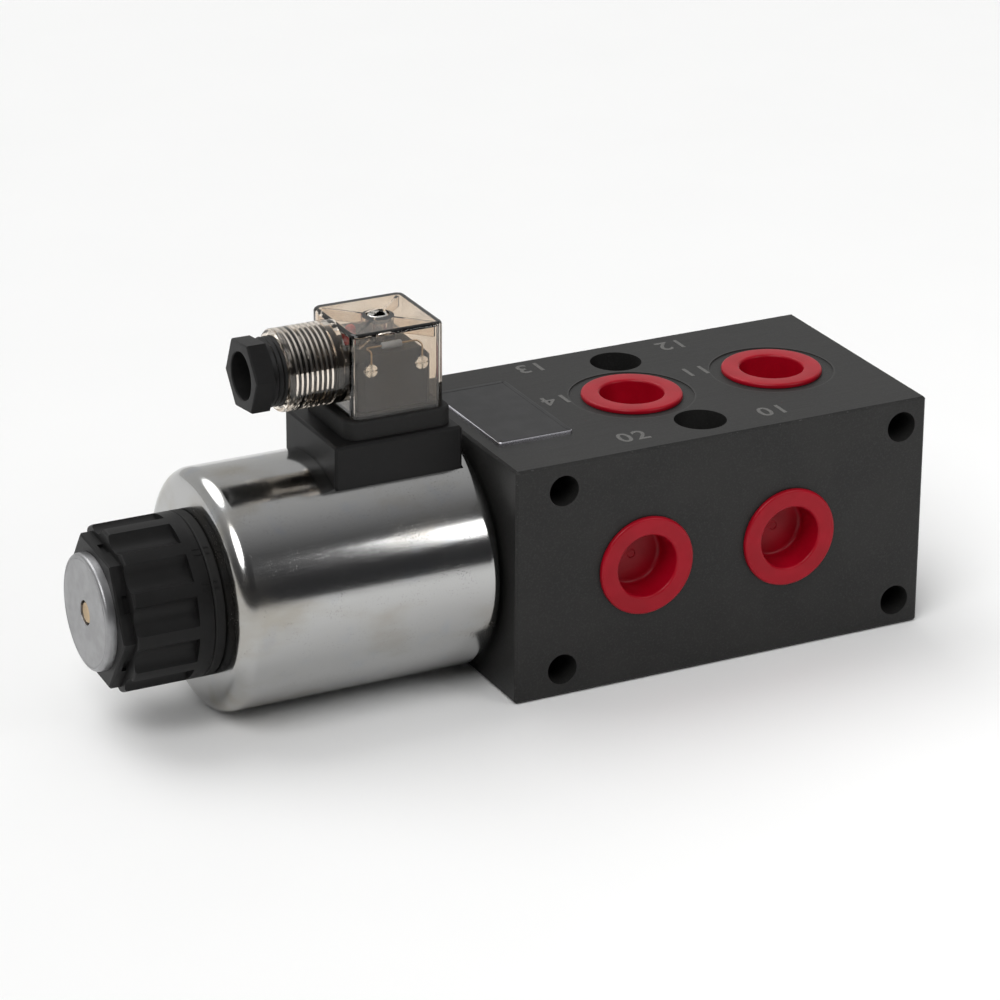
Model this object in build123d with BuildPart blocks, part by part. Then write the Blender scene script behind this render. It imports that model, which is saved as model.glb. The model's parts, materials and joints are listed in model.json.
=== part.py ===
from build123d import *
import os
from math import cos, hypot, pi, radians, sin

# Six-port, two-position solenoid diverter valve, in millimetres.
# The origin is the centre of the valve block's bottom face. +Z is up, +X runs along the spool away
# from the coil and +Y is the back of the block.

# ---------------------------------------------------------------- driving dimensions
# Valve block
GALLERY_PITCH = 15.3        # spacing of the six galleries along the spool bore
LEFT_MARGIN = 25.4          # block's left face to the first gallery
RIGHT_MARGIN = 29.1         # last gallery to the block's right face
BLOCK_WIDTH = 76.0
BLOCK_HEIGHT = 70.0
BLOCK_EDGE = 0.7
SPOOL_R = 10.0
SPOOL_NECK_R = 6.5
DRAIN_R = 1.5
BALANCE_GROOVE = 0.6
BALANCE_PITCH = 4.0
SPOOL_END_LAND = 0.6        # spool beyond the last gallery when fully shifted
LAND_OVERLAP = 2.4          # how far a closed land covers its gallery's edge
GALLERY_WIDTH = 9.0
GALLERY_R = 13.0
FOOT_THREAD_R = 15.0        # solenoid tube's thread in the block
FOOT_THREAD_LENGTH = 13.5

# Ports, all with the same thread
PORT_MAJOR_R = 10.48
PORT_DEPTH = 16.0
PORT_CHAMFER = 1.0
PASSAGE_R = 4.2
TOP_SPOTFACE_R = 18.0
TOP_SPOTFACE_DEPTH = 0.4

# Fixing holes
CORNER_HOLE_R = 4.5         # through the block from front to back
CORNER_HOLE_EDGE_LEFT = 14.75
CORNER_HOLE_EDGE_RIGHT = 8.0
CORNER_HOLE_EDGE_Z = 8.0
TOP_BOLT_HOLE_R = 4.5       # counterbored holes through the block from the top
TOP_BOLT_HEAD_R = 7.5
TOP_BOLT_HEAD_DEPTH = 9.0
TOP_BOLT_EDGE = 12.7        # hole centre to the front or back face
TOP_BOLT_X = -1.2

# Label plate
PLATE_LENGTH = 42.6
PLATE_WIDTH = 23.2
PLATE_THICKNESS = 1.0
PLATE_LEFT = 4.3            # block's left face to the plate
PLATE_Y = 2.6
PLATE_CORNER_R = 1.2

# End plug and return spring
PLUG_THREAD_R = 13.0
PLUG_THREAD_LENGTH = 14.0
PLUG_HEX_AF = 32.0
PLUG_HEAD_HEIGHT = 7.0
PLUG_COLLAR = 1.5
SPRING_POCKET_R = 8.6
SPRING_POCKET_DEPTH = 8.0
SPRING_WIRE_R = 0.9
SPRING_MEAN_R = 6.2
SPRING_TURNS = 4.5
SEAT_R = 8.0
SEAT_THICKNESS = 1.5
SEAT_SPIGOT_R = 4.6
SEAT_SPIGOT_LENGTH = 2.0

# Solenoid tube and what moves in it
STROKE = 4.5
TUBE_PROJECTION = 112.2     # block's left face to the tube's outer end
TUBE_R = 16.5
TUBE_BORE_R = 12.5
TUBE_END_WALL = 14.0
TUBE_FOOT_LENGTH = 14.5     # pole piece's shoulder outside the block
POLE_LENGTH = 31.7          # pole piece inside the tube
ARMATURE_SLOT_WIDTH = 2.0
ARMATURE_SLOT_DEPTH = 3.0
SHIM_THICKNESS = 0.5
ROD_R = 3.5
PIN_R = 3.0
PIN_RECESS_R = 3.5
PIN_RECESS_DEPTH = 2.0
PIN_SINK = 0.4              # pin's face below the tube's end
PIN_FILLET = 0.5
PIN_HEAD_R = 4.6
PIN_HEAD_LENGTH = 2.0
TUBE_RIM_FILLET = 2.2

# Coil
COIL_R = 34.4
COIL_LENGTH = 78.8
COIL_WALL = 6.0
COIL_FILLET_LEFT = 5.0
COIL_FILLET_RIGHT = 4.0
COIL_GAP = 1.4              # coil to block, filled by the coil seal
END_PLATE_THICKNESS = 3.0
BOBBIN_WALL = 1.5
BOBBIN_FLANGE = 1.8
WINDING_R = 26.4
COIL_SEAL_WIDTH = 4.5

# Coil nut
NUT_HEX_CORNER_R = 21.6
NUT_HEX_ANGLE = 4.5
NUT_HEX_LENGTH = 3.4
NUT_BODY_R = 23.3
NUT_FLUTED_LENGTH = 18.0
NUT_FLANGE_LENGTH = 4.7
NUT_FLUTES = 12
NUT_FLUTE_ANGLE = 18.0
NUT_FLUTE_R = 5.5
NUT_FLUTE_DEPTH = 2.3
NUT_SEAL_LENGTH = 3.1
NUT_PARTING_CHAMFER = 0.4
NUT_EDGE_FILLET = 0.9
NUT_POCKET_LENGTH = 1.6
NUT_POCKET_WIDTH = 5.0
NUT_POCKET_DEPTH = 0.9

# Connector base on the coil, gasket and clear cover
BASE_LENGTH = 38.5
BASE_DEPTH = 34.0
BASE_GAP = 6.0              # block's left face to the base's right end
BASE_ABOVE_AXIS = 42.4
BASE_CHAMFER = 0.7
GASKET_LENGTH = 31.8
GASKET_DEPTH = 30.2
GASKET_HEIGHT = 5.4
GASKET_CORNER_R = 4.0
GASKET_EDGE_FILLET = 0.8
COVER_DISTANCE = 23.8       # block's left face to the connector's screw
COVER_LENGTH = 27.8
COVER_DEPTH = 27.8
COVER_HEIGHT = 24.8
COVER_WALL = 1.6
COVER_CORNER_R = 2.6
COVER_TOP_FILLET = 1.2
COVER_BOSS_R = 4.6
COVER_RIB_THICKNESS = 1.0
COVER_RIB_HEIGHT = 3.0
COVER_RIB_REACH = 1.32      # share of the inside length, from corner to corner
SCREW_HEAD_R = 2.9
SCREW_HEAD_HEIGHT = 2.2
SCREW_RECESS_R = 3.4
SCREW_RECESS_DEPTH = 2.9
SCREW_R = 1.5
SCREW_SLOT_WIDTH = 0.8
SCREW_SLOT_DEPTH = 1.1
SCREW_SLOT_REACH = 2.2      # from the middle to the slot's end
SCREW_SLOT_ANGLE = 40.0
SCREW_HEAD_FILLET = 0.6
SCREW_SEAL_THICKNESS = 0.6
INSERT_R = 2.6
INSERT_LENGTH = 8.0
INSERT_SPARE = 2.0          # depth of the hole under the insert
BLADE_SPACING = 18.0
BLADE_WIDTH = 6.3
BLADE_THICKNESS = 0.8
BLADE_LENGTH = 21.0
BLADE_EMBEDDED = 8.0

# Terminal block inside the cover
TERMINAL_LENGTH = 21.6
TERMINAL_DEPTH = 22.4
TERMINAL_HEIGHT = 17.7
TERMINAL_CHAMFER = 3.0
TERMINAL_RIM_HEIGHT = 1.4
TERMINAL_SCREW_R = 1.9
TERMINAL_SCREW_SPACING = 15.3
TERMINAL_SCREW_DROP = 4.4   # below the block's top
TERMINAL_SCREW_PROUD = 0.55
TERMINAL_SCREW_SINK = 3.0
TERMINAL_SLOT_WIDTH = 0.6
TERMINAL_SLOT_DEPTH = 0.8
CLIP_WALL = 0.5
CLIP_LENGTH = 8.0
LED_R = 1.5
LED_HEIGHT = 4.0
LED_RIM_WIDTH = 0.2
LED_RIM_HEIGHT = 0.8
LED_OFFSET = 8.2            # from the connector's screw
RESISTOR_R = 1.0
RESISTOR_LENGTH = 6.0
RESISTOR_Y = -8.3
LEAD_R = 0.25
LEAD_BEND_R = 0.7

# Cable gland
GLAND_ABOVE_COVER_FOOT = 13.2
NECK_R = 11.6
NECK_BORE_R = 9.85
NECK_LENGTH = 17.3
NECK_STOP_R = 8.0
NECK_STOP_SETBACK = 0.8     # from the cover's side
NECK_RIM_FILLET = 0.7
NECK_THREAD_START = 1.2
GLAND_THREAD_START = 0.6
GLAND_EDGE = 0.4
GLAND_HEX_CORNER_R = 10.95
GLAND_HEX_ANGLE = 53.0
GLAND_HEX_LENGTH = 5.6
GLAND_VISIBLE_THREAD = 4.2
GLAND_THREAD_INSIDE = 8.4
GLAND_HOLE_R = 6.65
THREAD_PITCH = 1.5          # cable gland and its neck
THREAD_DEPTH = 0.6
GLAND_WASHER_THICKNESS = 1.0
GLAND_WASHER_HOLE_R = 5.0
GROMMET_HOLE_R = 4.0

# Red port plugs
CAP_FLANGE_R = 14.6
CAP_FLANGE_THICKNESS = 1.4
CAP_RECESS_R = 9.2
CAP_RECESS_DEPTH = 10.0
CAP_LENGTH = 10.4           # under the flange
CAP_LIP_FILLET = 0.6

# Edge chamfers of turned and moulded pieces
SMALL_EDGE = 0.4
THREAD_LEAD = 0.8

# Fits and clearances
RUNNING = 0.03              # radial, spool in its bore
GUIDE = 0.05                # radial, other sliding and turning pairs
EASY = 0.25                 # radial, pieces that only pass over each other
SEAL_GAP = 0.05             # O-ring to its groove and housing
CAP_CLEARANCE = 0.12
WINDOW_CLEARANCE = 0.1
O_RING_R = 0.9              # O-ring section radius
SEAL_SETBACK = 2.2          # O-ring's middle below the face that it seals

# ---------------------------------------------------------------- derived places
BLOCK_LENGTH = LEFT_MARGIN + 5 * GALLERY_PITCH + RIGHT_MARGIN
LEFT = -BLOCK_LENGTH / 2
RIGHT = BLOCK_LENGTH / 2
FRONT = -BLOCK_WIDTH / 2
BACK = BLOCK_WIDTH / 2
BORE_Z = BLOCK_HEIGHT / 2

GALLERIES = [LEFT + LEFT_MARGIN + i * GALLERY_PITCH for i in range(6)]
FRONT_PORT_X = {"left": GALLERIES[1], "right": GALLERIES[4]}
TOP_PORT_X = {"left": GALLERIES[2], "right": GALLERIES[5]}
BACK_GALLERY_X = {"left": GALLERIES[0], "right": GALLERIES[3]}

TUBE_END = LEFT - TUBE_PROJECTION
TUBE_BORE_END = TUBE_END + TUBE_END_WALL
TUBE_FOOT = LEFT - TUBE_FOOT_LENGTH
POLE_FACE = TUBE_FOOT - POLE_LENGTH
FOOT_END = LEFT + FOOT_THREAD_LENGTH
ARMATURE_RIGHT = POLE_FACE - SHIM_THICKNESS - STROKE
ARMATURE_LEFT = TUBE_BORE_END + PIN_HEAD_LENGTH

COIL_RIGHT = LEFT - COIL_GAP
COIL_LEFT = COIL_RIGHT - COIL_LENGTH
COIL_BORE_R = TUBE_R + EASY
COIL_CAVITY_R = COIL_R - COIL_WALL
CAVITY_LEFT = COIL_LEFT + COIL_WALL
CAVITY_RIGHT = COIL_RIGHT - END_PLATE_THICKNESS

NUT_SEAL_LEFT = COIL_LEFT - NUT_SEAL_LENGTH
NUT_FLANGE_LEFT = NUT_SEAL_LEFT - NUT_FLANGE_LENGTH
NUT_FLUTE_LEFT = NUT_FLANGE_LEFT - NUT_FLUTED_LENGTH
NUT_LEFT = NUT_FLUTE_LEFT - NUT_HEX_LENGTH

BASE_X = LEFT - BASE_GAP - BASE_LENGTH / 2
BASE_TOP = BORE_Z + BASE_ABOVE_AXIS
GASKET_TOP = BASE_TOP + GASKET_HEIGHT
COVER_X = LEFT - COVER_DISTANCE
COVER_LEFT = COVER_X - COVER_LENGTH / 2
COVER_TOP = GASKET_TOP + COVER_HEIGHT
COVER_INSIDE_TOP = COVER_TOP - COVER_WALL
TERMINAL_TOP = GASKET_TOP + TERMINAL_HEIGHT
TERMINAL_FRONT = -TERMINAL_DEPTH / 2

GLAND_Z = GASKET_TOP + GLAND_ABOVE_COVER_FOOT
NECK_LEFT = COVER_LEFT - NECK_LENGTH
GLAND_HEX_RIGHT = NECK_LEFT - GLAND_VISIBLE_THREAD
GLAND_LEFT = GLAND_HEX_RIGHT - GLAND_HEX_LENGTH
GLAND_RIGHT = NECK_LEFT + GLAND_THREAD_INSIDE
GROMMET_LEFT = GLAND_RIGHT + GLAND_WASHER_THICKNESS
NECK_STOP = COVER_LEFT - NECK_STOP_SETBACK

PLUG_INNER_END = RIGHT - PLUG_THREAD_LENGTH
SPRING_END = PLUG_INNER_END + SPRING_POCKET_DEPTH
HALF_GALLERY = GALLERY_WIDTH / 2
SPOOL_LEFT = FOOT_END
SPOOL_RIGHT = GALLERIES[5] + HALF_GALLERY + STROKE + SPOOL_END_LAND

# ---------------------------------------------------------------- working planes
SPOOL_LINE = Plane(origin=(0, 0, BORE_Z), x_dir=(0, 1, 0), z_dir=(1, 0, 0))
GLAND_LINE = Plane(origin=(0, 0, GLAND_Z), x_dir=(0, 1, 0), z_dir=(1, 0, 0))
COVER_SCREW_LINE = Plane(origin=(COVER_X, 0, 0), x_dir=(1, 0, 0), z_dir=(0, 0, 1))

PORTS = {}
for side in ("left", "right"):
    PORTS["front_" + side] = Plane((FRONT_PORT_X[side], FRONT, BORE_Z), x_dir=(1, 0, 0), z_dir=(0, -1, 0))
    PORTS["top_" + side] = Plane((TOP_PORT_X[side], 0, BLOCK_HEIGHT), x_dir=(1, 0, 0), z_dir=(0, 0, 1))
    PORTS["back_" + side] = Plane((FRONT_PORT_X[side], BACK, BORE_Z), x_dir=(1, 0, 0), z_dir=(0, 1, 0))


# ---------------------------------------------------------------- shared shapes
def bar(line, start, end, radius, mode=Mode.ADD):
    """A round bar from start to end along a plane's normal, added to the part being built."""
    with Locations(line.offset(start).location):
        Cylinder(radius, end - start, align=(Align.CENTER, Align.CENTER, Align.MIN), mode=mode)


def hole(line, start, end, radius):
    """A round hole from start to end along a plane's normal."""
    bar(line, start, end, radius, mode=Mode.SUBTRACT)


def groove(line, middle, shaft_r, width, depth):
    """A square-edged groove round a shaft."""
    with Locations(line.offset(middle - width / 2).location):
        Cylinder(shaft_r + 1, width, align=(Align.CENTER, Align.CENTER, Align.MIN), mode=Mode.SUBTRACT)
        Cylinder(shaft_r - depth, width, align=(Align.CENTER, Align.CENTER, Align.MIN))


def seal_groove(line, middle, shaft_r):
    """The groove that an O-ring of the standard section sits in."""
    groove(line, middle, shaft_r, 2 * (O_RING_R + SEAL_GAP), 2 * O_RING_R + SEAL_GAP)


def o_ring(line, middle, shaft_r):
    """An O-ring that lies in seal_groove, just under the shaft's surface."""
    with Locations(line.offset(middle).location):
        Torus(shaft_r - O_RING_R, O_RING_R)


def rims(piece, line, place, radius):
    """The round edges of one radius where a plane crosses a piece."""
    level = line.offset(place)
    return [edge for edge in piece.edges().filter_by(GeomType.CIRCLE)
            if abs(level.to_local_coords(edge.arc_center).Z) < 1e-3 and abs(edge.radius - radius) < 1e-3]


def turned(points, height, mode=Mode.ADD):
    """A turned shape about an axis along X at a height. The points are (x, radius)."""
    with BuildSketch(Plane((0, 0, height), x_dir=(1, 0, 0), z_dir=(0, -1, 0))) as profile:
        with BuildLine():
            Polyline(*points, close=True)
        make_face()
    revolve(profile.sketch, axis=Axis((0, 0, height), (1, 0, 0)), mode=mode)


def thread_outline(start, end, root_r, crest_r, core_r):
    """The points of a row of V-shaped rings from start to end, closed down to core_r."""
    turns = int((end - start) / THREAD_PITCH)
    points = [(start, core_r), (start, root_r)]
    for turn in range(turns):
        middle = start + (turn + 0.5) * THREAD_PITCH
        points += [(middle, crest_r), (start + (turn + 1) * THREAD_PITCH, root_r)]
    return points + [(start + turns * THREAD_PITCH, core_r)]


def block_of(x, y, z_start, z_end, length, depth, mode=Mode.ADD):
    """A rectangular block that stands on z_start, centred at x and y."""
    with Locations((x, y, z_start)):
        Box(length, depth, z_end - z_start, align=(Align.CENTER, Align.CENTER, Align.MIN), mode=mode)


# ---------------------------------------------------------------- valve block
with BuildPart() as valve_body:
    with BuildSketch(Plane.XY):
        Rectangle(BLOCK_LENGTH, BLOCK_WIDTH)
    extrude(amount=BLOCK_HEIGHT)
    chamfer(valve_body.edges(), BLOCK_EDGE)

    hole(SPOOL_LINE, LEFT - 1, RIGHT + 1, SPOOL_R + RUNNING)
    hole(SPOOL_LINE, LEFT - 1, FOOT_END, FOOT_THREAD_R + GUIDE)
    hole(SPOOL_LINE, PLUG_INNER_END, RIGHT + 1, PLUG_THREAD_R + GUIDE)
    for gallery in GALLERIES:
        hole(SPOOL_LINE, gallery - HALF_GALLERY, gallery + HALF_GALLERY, GALLERY_R)

    for name, port in PORTS.items():
        hole(port, -PORT_DEPTH, 1, PORT_MAJOR_R)
        with Locations(port.offset(-PORT_CHAMFER).location):
            Cone(PORT_MAJOR_R, PORT_MAJOR_R + 2 * PORT_CHAMFER, 2 * PORT_CHAMFER,
                 align=(Align.CENTER, Align.CENTER, Align.MIN), mode=Mode.SUBTRACT)
        if name.startswith("top"):
            hole(port, -TOP_SPOTFACE_DEPTH, 1, TOP_SPOTFACE_R)
            hole(port, BORE_Z - BLOCK_HEIGHT + SPOOL_R, 0, PASSAGE_R)
        if name.startswith("front"):
            hole(port, FRONT + SPOOL_R, 0, PASSAGE_R)

    # The back ports reach galleries that lie to their left, so their passages are drilled askew.
    for side in ("left", "right"):
        start_x = FRONT_PORT_X[side] - PASSAGE_R
        start_y = BACK - PORT_DEPTH + 1
        run_x = BACK_GALLERY_X[side] - start_x
        run_y = SPOOL_R - start_y
        passage = Plane((start_x, start_y, BORE_Z), z_dir=(run_x, run_y, 0))
        hole(passage, -2, hypot(run_x, run_y), PASSAGE_R)

    for x in (LEFT + CORNER_HOLE_EDGE_LEFT, RIGHT - CORNER_HOLE_EDGE_RIGHT):
        for z in (CORNER_HOLE_EDGE_Z, BLOCK_HEIGHT - CORNER_HOLE_EDGE_Z):
            hole(Plane((x, 0, z), x_dir=(1, 0, 0), z_dir=(0, 1, 0)), FRONT - 1, BACK + 1, CORNER_HOLE_R)
    for y in (FRONT + TOP_BOLT_EDGE, BACK - TOP_BOLT_EDGE):
        bolt_line = Plane((TOP_BOLT_X, y, BLOCK_HEIGHT), x_dir=(1, 0, 0), z_dir=(0, 0, 1))
        hole(bolt_line, -BLOCK_HEIGHT - 1, 1, TOP_BOLT_HOLE_R)
        hole(bolt_line, -TOP_BOLT_HEAD_DEPTH, 1, TOP_BOLT_HEAD_R)
valve_body.part.label = "valve_body"
export_step(valve_body.part, "parts/valve_body.step")

with BuildPart() as label_plate:
    plate_x = LEFT + PLATE_LEFT + PLATE_WIDTH / 2
    with BuildSketch(Plane((plate_x, PLATE_Y, BLOCK_HEIGHT))):
        RectangleRounded(PLATE_WIDTH, PLATE_LENGTH, PLATE_CORNER_R)
    extrude(amount=PLATE_THICKNESS)
    chamfer(label_plate.faces().sort_by(Axis.Z)[-1].edges(), PLATE_THICKNESS / 3)
label_plate.part.label = "label_plate"
export_step(label_plate.part, "parts/label_plate.step")

# ---------------------------------------------------------------- spool, spring and end plug
NECKS = [
    (GALLERIES[0] + HALF_GALLERY - LAND_OVERLAP, GALLERIES[2] - HALF_GALLERY - LAND_OVERLAP),
    (GALLERIES[3] + HALF_GALLERY - LAND_OVERLAP, GALLERIES[5] - HALF_GALLERY - LAND_OVERLAP),
]
with BuildPart() as spool:
    bar(SPOOL_LINE, SPOOL_LEFT, SPOOL_RIGHT, SPOOL_R)
    chamfer(spool.edges().filter_by(GeomType.CIRCLE), SMALL_EDGE)
    for start, end in NECKS:
        groove(SPOOL_LINE, (start + end) / 2, SPOOL_R, end - start, SPOOL_R - SPOOL_NECK_R)
    middle_land = (NECKS[0][1] + NECKS[1][0]) / 2
    for step in (-1, 0, 1):
        groove(SPOOL_LINE, middle_land + BALANCE_PITCH * step, SPOOL_R, BALANCE_GROOVE, BALANCE_GROOVE)
    hole(SPOOL_LINE, SPOOL_LEFT + SPOOL_R, SPOOL_RIGHT + 1, DRAIN_R)
    drain = Plane((SPOOL_LEFT + SPOOL_R, 0, BORE_Z), x_dir=(1, 0, 0), z_dir=(0, 0, 1))
    hole(drain, 0, SPOOL_R + 1, DRAIN_R)
spool.part.label = "spool"
export_step(spool.part, "parts/spool.step")

with BuildPart() as spring_seat:
    spigot_start = SPOOL_RIGHT + SEAT_THICKNESS
    spigot_end = spigot_start + SEAT_SPIGOT_LENGTH
    bar(SPOOL_LINE, SPOOL_RIGHT, spigot_start, SEAT_R)
    bar(SPOOL_LINE, spigot_start, spigot_end, SEAT_SPIGOT_R)
    chamfer(rims(spring_seat, SPOOL_LINE, spigot_end, SEAT_SPIGOT_R), SMALL_EDGE)
    hole(SPOOL_LINE, SPOOL_RIGHT - 1, spigot_end + 1, DRAIN_R)
spring_seat.part.label = "spring_seat"
export_step(spring_seat.part, "parts/spring_seat.step")

spring_start = SPOOL_RIGHT + SEAT_THICKNESS + SPRING_WIRE_R + SEAL_GAP
spring_length = SPRING_END - SPRING_WIRE_R - SEAL_GAP - spring_start
with BuildPart() as return_spring:
    with BuildLine():
        wire_path = Helix(spring_length / SPRING_TURNS, spring_length, SPRING_MEAN_R,
                          center=(spring_start, 0, BORE_Z), direction=(1, 0, 0))
    with BuildSketch(Plane(wire_path @ 0, z_dir=wire_path % 0)):
        Circle(SPRING_WIRE_R)
    sweep(path=wire_path, is_frenet=True)
return_spring.part.label = "return_spring"
export_step(return_spring.part, "parts/return_spring.step")

with BuildPart() as end_plug:
    head_r = PLUG_HEX_AF / 2 / cos(radians(30))
    with BuildSketch(SPOOL_LINE.offset(RIGHT)):
        RegularPolygon(PLUG_HEX_AF / 2, 6, major_radius=False)
    extrude(amount=PLUG_HEAD_HEIGHT)
    head_end = RIGHT + PLUG_HEAD_HEIGHT
    turned([(RIGHT, 0), (RIGHT, PLUG_HEX_AF / 2), (RIGHT + PLUG_COLLAR, head_r),
            (head_end - PLUG_COLLAR, head_r), (head_end, PLUG_HEX_AF / 2), (head_end, 0)],
           BORE_Z, mode=Mode.INTERSECT)
    bar(SPOOL_LINE, PLUG_INNER_END, RIGHT, PLUG_THREAD_R)
    chamfer(rims(end_plug, SPOOL_LINE, PLUG_INNER_END, PLUG_THREAD_R), THREAD_LEAD)
    hole(SPOOL_LINE, PLUG_INNER_END - 1, SPRING_END, SPRING_POCKET_R)
    seal_groove(SPOOL_LINE, RIGHT - SEAL_SETBACK, PLUG_THREAD_R)
end_plug.part.label = "end_plug"
export_step(end_plug.part, "parts/end_plug.step")

with BuildPart() as end_plug_seal:
    o_ring(SPOOL_LINE, RIGHT - SEAL_SETBACK, PLUG_THREAD_R)
end_plug_seal.part.label = "end_plug_seal"
export_step(end_plug_seal.part, "parts/end_plug_seal.step")

# ---------------------------------------------------------------- solenoid tube and its moving parts
pin_seal_x = TUBE_END + TUBE_END_WALL / 2
with BuildPart() as core_tube:
    bar(SPOOL_LINE, TUBE_END, TUBE_FOOT, TUBE_R)
    fillet(rims(core_tube, SPOOL_LINE, TUBE_END, TUBE_R), TUBE_RIM_FILLET)
    hole(SPOOL_LINE, TUBE_BORE_END, TUBE_FOOT + 1, TUBE_BORE_R)
    hole(SPOOL_LINE, TUBE_END - 1, TUBE_BORE_END + 1, PIN_R + GUIDE)
    hole(SPOOL_LINE, TUBE_END - 1, TUBE_END + PIN_RECESS_DEPTH, PIN_RECESS_R)
    half_groove = O_RING_R + SEAL_GAP
    hole(SPOOL_LINE, pin_seal_x - half_groove, pin_seal_x + half_groove, PIN_R + 2 * half_groove)
core_tube.part.label = "core_tube"
export_step(core_tube.part, "parts/core_tube.step")

with BuildPart() as override_pin:
    pin_start = TUBE_END + PIN_SINK
    bar(SPOOL_LINE, pin_start, TUBE_BORE_END, PIN_R)
    fillet(rims(override_pin, SPOOL_LINE, pin_start, PIN_R), PIN_FILLET)
    bar(SPOOL_LINE, TUBE_BORE_END, ARMATURE_LEFT, PIN_HEAD_R)
override_pin.part.label = "override_pin"
export_step(override_pin.part, "parts/override_pin.step")

with BuildPart() as override_pin_seal:
    with Locations(SPOOL_LINE.offset(pin_seal_x).location):
        Torus(PIN_R + SEAL_GAP + O_RING_R, O_RING_R)
override_pin_seal.part.label = "override_pin_seal"
export_step(override_pin_seal.part, "parts/override_pin_seal.step")

with BuildPart() as armature:
    bar(SPOOL_LINE, ARMATURE_LEFT, ARMATURE_RIGHT, TUBE_BORE_R - GUIDE)
    chamfer(armature.edges().filter_by(GeomType.CIRCLE), SMALL_EDGE)
    # slots that let oil pass as the armature moves
    for side in (-1, 1):
        slot_z = BORE_Z + side * (TUBE_BORE_R - ARMATURE_SLOT_DEPTH / 2)
        with Locations(((ARMATURE_LEFT + ARMATURE_RIGHT) / 2, 0, slot_z)):
            Box(ARMATURE_RIGHT - ARMATURE_LEFT + 2, ARMATURE_SLOT_WIDTH, ARMATURE_SLOT_DEPTH,
                mode=Mode.SUBTRACT)
armature.part.label = "armature"
export_step(armature.part, "parts/armature.step")

with BuildPart() as push_rod:
    bar(SPOOL_LINE, ARMATURE_RIGHT, SPOOL_LEFT, ROD_R)
    chamfer(push_rod.edges().filter_by(GeomType.CIRCLE), SMALL_EDGE)
push_rod.part.label = "push_rod"
export_step(push_rod.part, "parts/push_rod.step")

with BuildPart() as air_gap_shim:
    bar(SPOOL_LINE, POLE_FACE - SHIM_THICKNESS, POLE_FACE, TUBE_BORE_R - EASY)
    hole(SPOOL_LINE, POLE_FACE - 1, POLE_FACE + 1, ROD_R + EASY)
air_gap_shim.part.label = "air_gap_shim"
export_step(air_gap_shim.part, "parts/air_gap_shim.step")

with BuildPart() as pole_piece:
    bar(SPOOL_LINE, POLE_FACE, TUBE_FOOT, TUBE_BORE_R - GUIDE)
    bar(SPOOL_LINE, TUBE_FOOT, LEFT, TUBE_R)
    bar(SPOOL_LINE, LEFT, FOOT_END, FOOT_THREAD_R)
    chamfer(rims(pole_piece, SPOOL_LINE, FOOT_END, FOOT_THREAD_R), THREAD_LEAD)
    seal_groove(SPOOL_LINE, LEFT + SEAL_SETBACK, FOOT_THREAD_R)
    hole(SPOOL_LINE, POLE_FACE - 1, FOOT_END + 1, ROD_R + GUIDE)
pole_piece.part.label = "pole_piece"
export_step(pole_piece.part, "parts/pole_piece.step")

with BuildPart() as tube_seal:
    o_ring(SPOOL_LINE, LEFT + SEAL_SETBACK, FOOT_THREAD_R)
tube_seal.part.label = "tube_seal"
export_step(tube_seal.part, "parts/tube_seal.step")

# ---------------------------------------------------------------- coil
with BuildPart() as coil_shell:
    bar(SPOOL_LINE, COIL_LEFT, COIL_RIGHT, COIL_R)
    fillet(rims(coil_shell, SPOOL_LINE, COIL_LEFT, COIL_R), COIL_FILLET_LEFT)
    fillet(rims(coil_shell, SPOOL_LINE, COIL_RIGHT, COIL_R), COIL_FILLET_RIGHT)
    hole(SPOOL_LINE, CAVITY_LEFT, COIL_RIGHT + 1, COIL_CAVITY_R)
    hole(SPOOL_LINE, COIL_LEFT - 1, COIL_RIGHT + 1, COIL_BORE_R)
    block_of(BASE_X, 0, BORE_Z, BORE_Z + COIL_R + 1, BASE_LENGTH + 2 * WINDOW_CLEARANCE,
             BASE_DEPTH + 2 * WINDOW_CLEARANCE, mode=Mode.SUBTRACT)
coil_shell.part.label = "coil_shell"
export_step(coil_shell.part, "parts/coil_shell.step")

with BuildPart() as coil_end_plate:
    bar(SPOOL_LINE, CAVITY_RIGHT, COIL_RIGHT, COIL_CAVITY_R - WINDOW_CLEARANCE)
    chamfer(rims(coil_end_plate, SPOOL_LINE, COIL_RIGHT, COIL_CAVITY_R - WINDOW_CLEARANCE), SMALL_EDGE)
    hole(SPOOL_LINE, CAVITY_RIGHT - 1, COIL_RIGHT + 1, COIL_BORE_R)
coil_end_plate.part.label = "coil_end_plate"
export_step(coil_end_plate.part, "parts/coil_end_plate.step")

bobbin_tube_r = COIL_BORE_R + BOBBIN_WALL
with BuildPart() as coil_bobbin:
    bar(SPOOL_LINE, CAVITY_LEFT, CAVITY_RIGHT, COIL_CAVITY_R - EASY)
    groove(SPOOL_LINE, (CAVITY_LEFT + CAVITY_RIGHT) / 2, COIL_CAVITY_R,
           CAVITY_RIGHT - CAVITY_LEFT - 2 * BOBBIN_FLANGE, COIL_CAVITY_R - bobbin_tube_r)
    hole(SPOOL_LINE, CAVITY_LEFT - 1, CAVITY_RIGHT + 1, COIL_BORE_R)
coil_bobbin.part.label = "coil_bobbin"
export_step(coil_bobbin.part, "parts/coil_bobbin.step")

with BuildPart() as coil_winding:
    winding_left = CAVITY_LEFT + BOBBIN_FLANGE
    winding_right = CAVITY_RIGHT - BOBBIN_FLANGE
    bar(SPOOL_LINE, winding_left, winding_right, WINDING_R)
    hole(SPOOL_LINE, winding_left - 1, winding_right + 1, bobbin_tube_r + SEAL_GAP)
coil_winding.part.label = "coil_winding"
export_step(coil_winding.part, "parts/coil_winding.step")

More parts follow.
